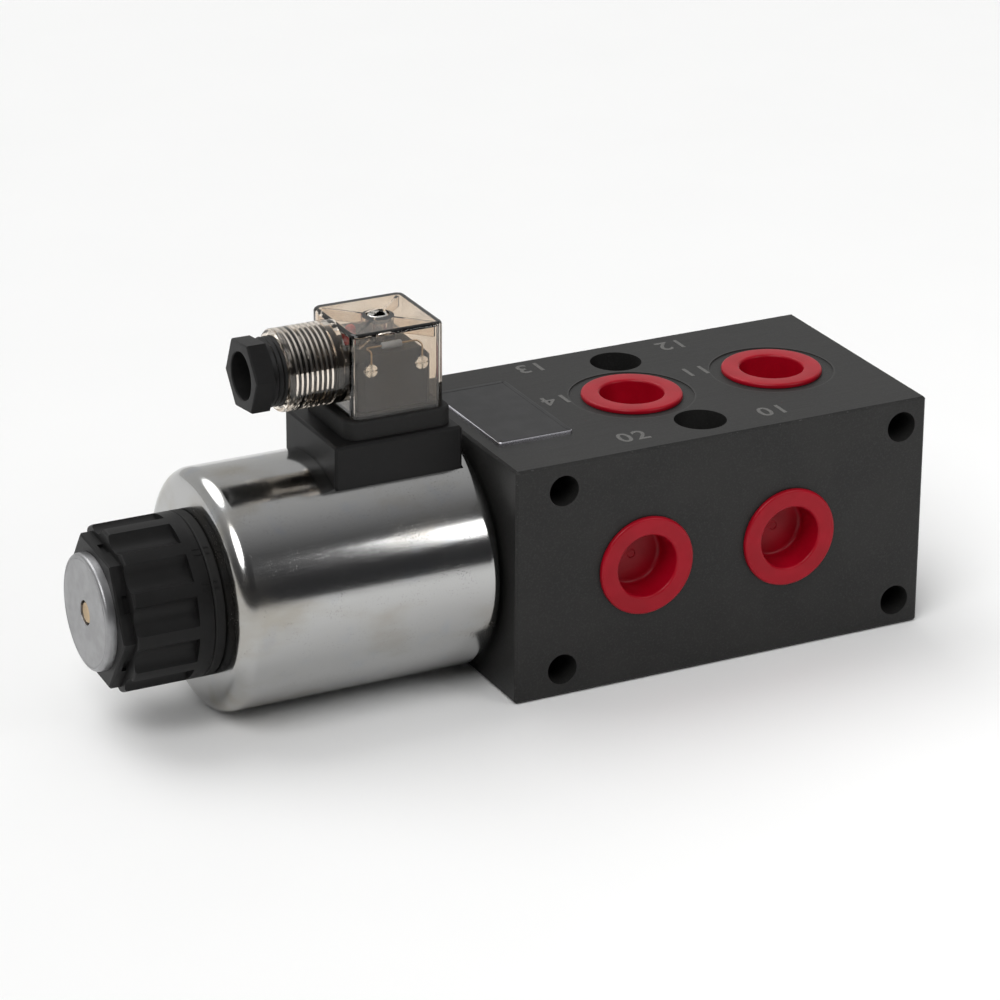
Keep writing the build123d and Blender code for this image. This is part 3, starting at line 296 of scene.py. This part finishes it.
def soft_rubber():
    """Matt black rubber with dust in its grain."""
    f = Finish("soft_rubber", Metallic=0.0, Specular_IOR_Level=0.25)
    texture = f.grain(0.5, detail=3)
    dust = f.grain(2.2, detail=6, rough=0.65).fade(0.55, 0.8)
    coat = f.blend(dust * 0.5, (0.014, 0.0137, 0.0134), (0.036, 0.034, 0.031))
    return f.feed(Base_Color=coat, Roughness=0.60 + texture * 0.2).raise_surface(texture, 0.03, 0.7)


def clear_amber():
    """Clear moulded plastic with a smoky amber tint."""
    f = Finish("clear_amber", Metallic=0.0, Transmission_Weight=1.0, IOR=1.5)
    flow = f.grain(9, stretch=(1, 1, 2.5), detail=2)
    tint = f.blend(flow.fade(0.35, 0.7), (0.88, 0.80, 0.71), (0.83, 0.73, 0.62))
    haze = f.grain(0.8, detail=5, rough=0.7).fade(0.66, 0.8)
    return f.feed(Base_Color=tint, Roughness=0.02 + haze * 0.10).raise_surface(flow, 0.02, 0.6)


def transit_red():
    """Soft red plastic of the transit plugs, lightly crazed and dusty."""
    f = Finish("transit_red", Metallic=0.0, Specular_IOR_Level=0.22)
    cloud = f.grain(7, detail=3)
    texture = f.grain(0.4, detail=2)
    rub = f.grain(0.8, stretch=(3, 1, 1), detail=5, rough=0.7).fade(0.63, 0.76)
    coat = f.blend(cloud.fade(0.3, 0.7), (0.30, 0.0006, 0.009), (0.35, 0.0012, 0.012))
    coat = f.blend(rub * 0.16, coat, (0.42, 0.025, 0.04))
    rough = 0.30 + texture * 0.10 + rub * 0.15
    return f.feed(Base_Color=coat, Roughness=rough).raise_surface(texture * 0.6 + cloud, 0.03, 0.6)


def plain_metal(name, colour, dark, gloss, size=0.5, stretch=(1, 1, 1)):
    """A turned or stamped metal with fine grain and darker spots."""
    f = Finish(name, Metallic=1.0)
    fine = f.grain(size, stretch=stretch, detail=3)
    cloud = f.grain(4, detail=4)
    metal = f.blend(cloud.fade(0.4, 0.75), colour, dark)
    rough = gloss + fine * 0.14 + cloud * 0.06
    return f.feed(Base_Color=metal, Roughness=rough).raise_surface(fine, 0.01, 0.8)


def plain_plastic(name, colour, gloss):
    """A small moulded piece with a slight texture."""
    f = Finish(name, Metallic=0.0)
    fine = f.grain(0.3, detail=2)
    cloud = f.grain(3, detail=3)
    coat = f.blend(cloud, colour, tuple(c * 0.75 for c in colour))
    return f.feed(Base_Color=coat, Roughness=gloss + fine * 0.15).raise_surface(fine, 0.01, 0.8)


def label_metal():
    """Dark printed face on a plate whose bevel is bare and bright."""
    f = Finish("label_metal", Specular_IOR_Level=0.3)
    face = f.z.fade(PLATE_TOP - 0.12, PLATE_TOP - 0.08)
    brush = f.grain(0.25, stretch=(1, 60, 1), detail=3)
    cloud = f.grain(6, detail=4)
    print_coat = f.blend(cloud.fade(0.35, 0.7), (0.017, 0.017, 0.0178), (0.024, 0.0237, 0.0248))
    print_coat = f.blend(brush.fade(0.55, 0.8) * 0.4, print_coat, (0.042, 0.042, 0.044))
    colour = f.blend(face, (0.82, 0.81, 0.86), print_coat)
    rough = 0.24 + brush * 0.08 + face * 0.18
    f.feed(Base_Color=colour, Metallic=1 - face * 0.9, Roughness=rough)
    return f.raise_surface(brush, 0.01, 0.7)


def laser_mark():
    """Pale grey laser marking on the oxide."""
    f = Finish("laser_mark", Metallic=0.0)
    grainy = f.grain(0.35, detail=3)
    coat = f.blend(grainy.fade(0.35, 0.65), (0.080, 0.079, 0.075), (0.135, 0.132, 0.126))
    return f.feed(Base_Color=coat, Roughness=0.65 + grainy * 0.15)


FINISHES = {
    "black_steel": oxide_black_steel(),
    "coil_chrome": bright_coil_plate(),
    "tube_nickel": satin_nickel(),
    "black_plastic": moulded_black("moulded_black", (0.0075, 0.0073, 0.0073), 0.38, 0.20),
    "grey_plastic": moulded_black("moulded_grey", (0.009, 0.0088, 0.0086), 0.42, 0.25),
    "seal_rubber": soft_rubber(),
    "clear_plastic": clear_amber(),
    "cap_red": transit_red(),
    "plate_metal": label_metal(),
    "zinc_plate": plain_metal("zinc_plate", (0.46, 0.46, 0.45), (0.39, 0.385, 0.365), 0.26),
    "spool_steel": plain_metal("ground_steel", (0.50, 0.50, 0.51), (0.40, 0.40, 0.40), 0.16, 0.2,
                               (1, 12, 12)),
    "bright_screw": plain_metal("bright_screw", (0.74, 0.73, 0.70), (0.60, 0.58, 0.54), 0.16),
    "brass": plain_metal("brass", (0.52, 0.38, 0.22), (0.34, 0.25, 0.15), 0.28),
    "copper_wire": plain_metal("copper_wire", (0.72, 0.34, 0.18), (0.55, 0.24, 0.12), 0.30, 0.4,
                               (1, 30, 30)),
    "bobbin_plastic": plain_plastic("bobbin_plastic", (0.30, 0.24, 0.16), 0.45),
    "led_red": plain_plastic("led_red", (0.62, 0.02, 0.02), 0.12),
    "resistor_body": plain_plastic("resistor_body", (0.45, 0.55, 0.70), 0.35),
}
MARKING = laser_mark()

NODE_SLOT = {row["node"]: row["material_slot"] for row in frame["record"]["subparts"]}
for node, piece in frame["nodes"].items():
    piece.data.materials.clear()
    piece.data.materials.append(FINISHES[NODE_SLOT[node]].material)


# ------------------------------------------------------------ making pieces
def make_piece(bm, name, finish, body, place=None, sharp=35, replaced=()):
    """Places a finished bmesh, given in millimetres, and lets it ride on a body."""
    bmesh.ops.remove_doubles(bm, verts=bm.verts, dist=1e-4)
    bmesh.ops.recalc_face_normals(bm, faces=bm.faces)
    bmesh.ops.transform(bm, matrix=Matrix.Scale(MM, 4) @ (place or Matrix()), verts=bm.verts)
    mesh = bpy.data.meshes.new(name)
    bm.to_mesh(mesh)
    bm.free()
    mesh.shade_smooth()
    mesh.set_sharp_from_angle(angle=radians(sharp))
    mesh.materials.append(finish.material)
    piece = bpy.data.objects.new(name, mesh)
    bpy.context.scene.collection.objects.link(piece)
    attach(piece, body)
    if replaced:
        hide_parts(*replaced)
    return piece


def round_off(points, radii, steps=5):
    """An outline of (along, radius) points whose corners are rounded, each by its own size."""
    rounded = []
    for i, (point, size) in enumerate(zip(points, radii)):
        corner = Vector(point)
        if not size:
            rounded.append(tuple(corner))
            continue
        before = Vector(points[i - 1]) - corner
        after = Vector(points[(i + 1) % len(points)]) - corner
        start = corner + before.normalized() * size
        end = corner + after.normalized() * size
        for step in range(steps + 1):
            t = step / steps
            # a quarter arc as a weighted curve through the corner
            weight = cos(pi / 4) * 2 * t * (1 - t)
            total = (1 - t) ** 2 + weight + t ** 2
            rounded.append(tuple(((1 - t) ** 2 * start + weight * corner + t ** 2 * end) / total))
    return rounded


def turn(outline, steps=128):
    """Spins an outline of (along, radius) about Z, closed on itself unless it ends on the axis."""
    bm = bmesh.new()
    verts = [bm.verts.new((radius, 0, along)) for along, radius in outline]
    pairs = list(zip(verts, verts[1:]))
    if outline[0][1] or outline[-1][1]:
        pairs.append((verts[-1], verts[0]))
    edges = [bm.edges.new(pair) for pair in pairs]
    bmesh.ops.spin(bm, geom=verts + edges, cent=(0, 0, 0), axis=(0, 0, 1), angle=2 * pi, steps=steps,
                   use_merge=True)
    bmesh.ops.remove_doubles(bm, verts=bm.verts, dist=1e-4)
    return bm


def facing(origin, direction):
    """The placement that takes Z to a direction and the origin to a point."""
    turned = Vector((0, 0, 1)).rotation_difference(Vector(direction))
    return Matrix.Translation(origin) @ turned.to_matrix().to_4x4()


ALONG_SPOOL = facing((0, 0, AXIS_HEIGHT), (1, 0, 0))


def soften(node, width, body, sharpest=32):
    """A copy of a CAD node whose sharp edges are rounded over, in place of the node."""
    bm = bmesh.new()
    bm.from_mesh(frame["nodes"][node].data)
    bmesh.ops.transform(bm, matrix=Matrix.Scale(1 / MM, 4), verts=bm.verts)
    bmesh.ops.remove_doubles(bm, verts=bm.verts, dist=2e-3)
    bmesh.ops.dissolve_limit(bm, angle_limit=radians(0.4), verts=bm.verts, edges=bm.edges)
    slot_name = NODE_SLOT[node]
    piece = make_piece(bm, node + "_soft", FINISHES[slot_name], body, sharp=180, replaced=[node])
    bevel = piece.modifiers.new("edges", "BEVEL")
    bevel.width = width * MM
    bevel.segments = 2
    bevel.limit_method = "ANGLE"
    bevel.angle_limit = radians(sharpest)
    bevel.use_clamp_overlap = True
    even = piece.modifiers.new("normals", "WEIGHTED_NORMAL")
    even.keep_sharp = True
    return piece


# ------------------------------------------------------------ valve block, label plate and markings
soften("valve_body", 0.22, "valve_block")

PLATE_SIZE = Vector((23.2, 42.6, PLATE_TOP - BLOCK.z))
PLATE_MIDDLE = Vector((-49.6, 2.6, BLOCK.z + PLATE_SIZE.z / 2))
PLATE_CORNER = 1.2
PLATE_BEVEL = 0.5
PLATE_FRAME = 1.1
PLATE_STEP = 0.06
plate = bmesh.new()
bmesh.ops.create_cube(plate, size=1.0)
bmesh.ops.scale(plate, vec=PLATE_SIZE, verts=plate.verts)
uprights = [e for e in plate.edges if abs(e.verts[0].co.z - e.verts[1].co.z) > 0.5]
bmesh.ops.bevel(plate, geom=uprights, offset=PLATE_CORNER, segments=6, profile=0.5, affect="EDGES",
                material=-1)
rim = [e for e in plate.edges if all(v.co.z > 0.4 for v in e.verts)]
bmesh.ops.bevel(plate, geom=rim, offset=PLATE_BEVEL, segments=3, profile=0.5, affect="EDGES",
                material=-1)
plate.normal_update()
face = max(plate.faces, key=lambda f: f.calc_area() * f.normal.z)
bmesh.ops.inset_region(plate, faces=[face], thickness=PLATE_FRAME)
bmesh.ops.inset_region(plate, faces=[face], thickness=0.08, depth=-PLATE_STEP)
make_piece(plate, "rating_plate", FINISHES["plate_metal"], "valve_block",
           Matrix.Translation(PLATE_MIDDLE), sharp=12, replaced=["label_plate"])

MARK_HEIGHT = 6.0
NUMERAL_SHARE = 0.69
MARK_THICKNESS = 0.04
MARK_BOLD = 0.14
MARKS = (("02", -24.4, -28.5, 0), ("01", 20.6, -28.5, 0), ("14", -30.7, 5.9, 180),
         ("11", 16.0, 8.7, 180), ("13", -25.8, 31.7, 180), ("12", 20.0, 30.4, 180))
for number, x, y, turned in MARKS:
    text = bpy.data.curves.new("mark", "FONT")
    text.body = number
    text.size = MARK_HEIGHT * MM / NUMERAL_SHARE
    text.align_x, text.align_y = "CENTER", "CENTER"
    text.extrude = MARK_THICKNESS / 2 * MM
    text.offset = MARK_BOLD * MM
    text.space_character = 1.15
    holder = bpy.data.objects.new("mark", text)
    bpy.context.scene.collection.objects.link(holder)
    bm = bmesh.new()
    bm.from_mesh(bpy.data.meshes.new_from_object(holder))
    bpy.data.objects.remove(holder)
    bmesh.ops.transform(bm, matrix=Matrix.Scale(1 / MM, 4), verts=bm.verts)
    spot = Matrix.Translation((x, y, BLOCK.z + MARK_THICKNESS / 2))
    make_piece(bm, "port_number_" + number, MARKING, "valve_block",
               spot @ Matrix.Rotation(radians(turned), 4, "Z"))

# ------------------------------------------------------------ coil case
CASE_WALL = 6.0
CASE_BORE = 16.75
CASE_CAVITY = COIL_R - CASE_WALL
LEFT_ROUND, RIGHT_ROUND = 5.0, 4.0
WINDOW_LEFT, WINDOW_RIGHT, WINDOW_SIDE = -110.1, -71.4, 17.1
SUPPORT = 0.35
case_outline = round_off(
    [(COIL_LEFT, CASE_BORE), (COIL_LEFT, COIL_R), (COIL_RIGHT, COIL_R), (COIL_RIGHT, CASE_CAVITY),
     (COIL_LEFT + CASE_WALL, CASE_CAVITY), (COIL_LEFT + CASE_WALL, CASE_BORE)],
    [0.4, LEFT_ROUND, RIGHT_ROUND, 0.3, 0, 0], steps=10)
# a ring of points close to each end of the long wall keeps the rounding's shading off it
wall_starts = COIL_LEFT + LEFT_ROUND
at = 1 + next(i for i, (along, radius) in enumerate(case_outline) if along > wall_starts - 1e-6)
case_outline[at:at] = [(wall_starts + SUPPORT, COIL_R), (COIL_RIGHT - RIGHT_ROUND - SUPPORT, COIL_R)]
case = turn(case_outline, steps=256)
bmesh.ops.transform(case, matrix=ALONG_SPOOL, verts=case.verts)
for point, normal in (((WINDOW_LEFT, 0, 0), (1, 0, 0)), ((WINDOW_RIGHT, 0, 0), (1, 0, 0)),
                      ((0, -WINDOW_SIDE, 0), (0, 1, 0)), ((0, WINDOW_SIDE, 0), (0, 1, 0))):
    upper = [f for f in case.faces if f.calc_center_median().z > AXIS_HEIGHT + 10]
    geom = list({g for f in upper for g in (*f.verts, *f.edges, f)})
    bmesh.ops.bisect_plane(case, geom=geom, dist=1e-5, plane_co=point, plane_no=normal)
cut = []
for f in case.faces:
    c = f.calc_center_median()
    if WINDOW_LEFT < c.x < WINDOW_RIGHT and abs(c.y) < WINDOW_SIDE and c.z > AXIS_HEIGHT + 10:
        cut.append(f)
bmesh.ops.delete(case, geom=cut, context="FACES")
bmesh.ops.bridge_loops(case, edges=[e for e in case.edges if e.is_boundary])
make_piece(case, "coil_case", FINISHES["coil_chrome"], "coil", sharp=30, replaced=["coil_shell"])

# ------------------------------------------------------------ pressure tube's end and the coil nut
TUBE_R, TUBE_BORE, TUBE_WALL = 16.5, 12.5, 14.0
PIN_HOLE, PIN_POCKET, POCKET_DEPTH = 3.05, 3.5, 2.0
TUBE_FOOT = -80.0
RIM_LINE_R, RIM_LINE_DEPTH = 15.225, 0.12
tube_outline = round_off(
    [(TUBE_END, PIN_POCKET), (TUBE_END, RIM_LINE_R - 0.225),
     (TUBE_END + RIM_LINE_DEPTH, RIM_LINE_R - 0.125), (TUBE_END + RIM_LINE_DEPTH, RIM_LINE_R + 0.125),
     (TUBE_END, RIM_LINE_R + 0.225), (TUBE_END, TUBE_R), (TUBE_FOOT, TUBE_R), (TUBE_FOOT, TUBE_BORE),
     (TUBE_END + TUBE_WALL, TUBE_BORE), (TUBE_END + TUBE_WALL, PIN_HOLE),
     (TUBE_END + POCKET_DEPTH, PIN_HOLE), (TUBE_END + POCKET_DEPTH, PIN_POCKET)],
    [0.25, 0, 0, 0, 0, 1.0, 0.3, 0.3, 0.3, 0.2, 0.1, 0.1], steps=6)
make_piece(turn(tube_outline, 160), "pressure_tube", FINISHES["tube_nickel"], "valve_block",
           ALONG_SPOOL, replaced=["core_tube"])
soften("coil_nut", 0.35, "coil_nut")
soften("nut_seal", 0.15, "nut_seal")
soften("end_plug", 0.3, "valve_block")

TICK_ANGLES = (127.5, 152.5)
TICK_SPREAD = 2.2
TICK_SIZE = Vector((0.5, 0.28, 1.0))


def tick_pair(name, start, end, body):
    """Short raised witness lines, two at each angle, along one side of the nut's seam."""
    bm = bmesh.new()
    for angle in TICK_ANGLES:
        for side in (-1, 1):
            tick = bmesh.ops.create_cube(bm, size=1.0)["verts"]
            bmesh.ops.scale(bm, vec=(end - start, TICK_SIZE.x, TICK_SIZE.y), verts=tick)
            bmesh.ops.translate(bm, vec=((start + end) / 2, 0, NUT_R + 0.02), verts=tick)
            turned = Matrix.Rotation(radians(angle + side * TICK_SPREAD - 90), 4, "X")
            bmesh.ops.rotate(bm, cent=(0, 0, 0), matrix=turned.to_3x3(), verts=tick)
    make_piece(bm, name, FINISHES["black_plastic"], body, Matrix.Translation((0, 0, AXIS_HEIGHT)))


tick_pair("nut_ticks", NUT_SEAM - 2.6, NUT_SEAM - 0.5, "coil_nut")
tick_pair("seal_ticks", NUT_SEAM + 0.5, NUT_SEAM + 2.0, "nut_seal")

# ------------------------------------------------------------ connector
soften("connector_base", 0.3, "coil")
soften("connector_gasket", 0.25, "connector")
soften("terminal_block", 0.2, "connector")
soften("gland_nut", 0.12, "gland_nut", sharpest=50)
soften("cover_screw", 0.08, "cover_screw")
soften("terminal_screws", 0.06, "connector")

# ------------------------------------------------------------ red transit plugs
FLANGE_R, FLANGE = 14.6, 1.4
RECESS_R, RECESS = 9.2, 10.0
RECESS_FLOOR = FLANGE - RECESS
SHANK_R, SHANK = 10.36, 10.4
GATE_R, GATE_DEPTH = 1.1, 0.25
plug_outline = round_off(
    [(RECESS_FLOOR - GATE_DEPTH, 0), (RECESS_FLOOR - GATE_DEPTH, GATE_R), (RECESS_FLOOR, GATE_R + 0.15),
     (RECESS_FLOOR, RECESS_R - 0.15), (FLANGE, RECESS_R), (FLANGE, FLANGE_R), (0.0, FLANGE_R),
     (0.0, SHANK_R), (-SHANK, SHANK_R), (-SHANK, 0)],
    [0, 0.1, 0.1, 1.3, 0.8, 0.75, 0.25, 0.3, 0.8, 0], steps=6)
PORTS = {
    "front_left": ((-24.8, -38, 35), (0, -1, 0)), "front_right": ((21.1, -38, 35), (0, -1, 0)),
    "top_left": ((-9.5, 0, 69.6), (0, 0, 1)), "top_right": ((36.4, 0, 69.6), (0, 0, 1)),
    "back_left": ((-24.8, 38, 35), (0, 1, 0)), "back_right": ((21.1, 38, 35), (0, 1, 0)),
}
for port, (origin, direction) in PORTS.items():
    name = "port_plug_" + port
    make_piece(turn(plug_outline, 112), "red_plug_" + port, FINISHES["cap_red"], name,
               facing(origin, direction), replaced=[name])

# ------------------------------------------------------------ floor and light
floor_mesh = bmesh.new()
bmesh.ops.create_circle(floor_mesh, cap_ends=True, segments=96, radius=8.0)
mesh = bpy.data.meshes.new("floor")
floor_mesh.to_mesh(mesh)
floor_mesh.free()
floor = bpy.data.objects.new("floor", mesh)
bpy.context.scene.collection.objects.link(floor)
floor.location.z = -0.0002
paper = Finish("pale_floor", Roughness=0.85, Specular_IOR_Level=0.2)
pale = paper.blend(paper.grain(60, detail=2), (0.89, 0.89, 0.885), (0.91, 0.91, 0.905))
paper.feed(Base_Color=pale)
mesh.materials.append(paper.material)


def softbox(name, place, aim, width, height, power):
    """A plain rectangular studio light, in metres."""
    light = bpy.data.lights.new(name, "AREA")
    light.shape = "RECTANGLE"
    light.size, light.size_y, light.energy = width, height, power
    lamp = bpy.data.objects.new(name, light)
    lamp.location = place
    lamp.rotation_euler = (Vector(place) - Vector(aim)).to_track_quat("Z", "Y").to_euler()
    bpy.context.scene.collection.objects.link(lamp)


def distant(name, place, spread, power):
    """A large soft light far away, whose light is the same all over the floor."""
    light = bpy.data.lights.new(name, "SUN")
    light.angle, light.energy = radians(spread), power
    lamp = bpy.data.objects.new(name, light)
    lamp.rotation_euler = Vector(place).to_track_quat("Z", "Y").to_euler()
    bpy.context.scene.collection.objects.link(lamp)


softbox("strip", (0.210, -0.355, 0.298), (0.0025, -0.0275, 0.0515), 0.24, 0.12, 0.42)
distant("key", (-0.85, -0.75, 1.35), 38, 1.4)
distant("back", (-0.35, 0.95, 1.5), 42, 1.1)

world = bpy.data.worlds.new("studio")
bpy.context.scene.world = world
world.use_nodes = True
sky = Nodes(world.node_tree)
direction = sky.node("TexCoord", output="Generated")
dx, dy, dz = (sky.node("SeparateXYZ", inputs={0: direction}, output=i) for i in range(3))
lift = (dz * 0.8 + dy * 0.6).fade(-0.35, 0.95, 0.0, 1.0)
ROOM_TONES = [(0.0, (0.04, 0.04, 0.042)), (0.36, (0.12, 0.12, 0.122)),
              (0.7, (0.34, 0.34, 0.345)), (1.0, (0.62, 0.62, 0.62))]
shade = sky.node("ValToRGB", {"stops": ROOM_TONES}, {0: lift})
backdrop = sky.blend(dy.fade(0.05, 0.6) * dz.fade(0.75, 0.15), shade, (0.62, 0.62, 0.61))
seen = sky.node("LightPath", output="Is Camera Ray")
colour = sky.blend(seen, backdrop, (0.97, 0.97, 0.97))
background = world.node_tree.nodes["Background"]
world.node_tree.links.new(colour.socket, background.inputs["Color"])
background.inputs["Strength"].default_value = 1.0

scene = bpy.context.scene
scene.view_settings.view_transform = "Standard"
scene.view_settings.exposure = 0.0
scene.cycles.max_bounces = 16
scene.cycles.transmission_bounces = 14
scene.cycles.caustics_refractive = True
scene.cycles.use_denoising = True
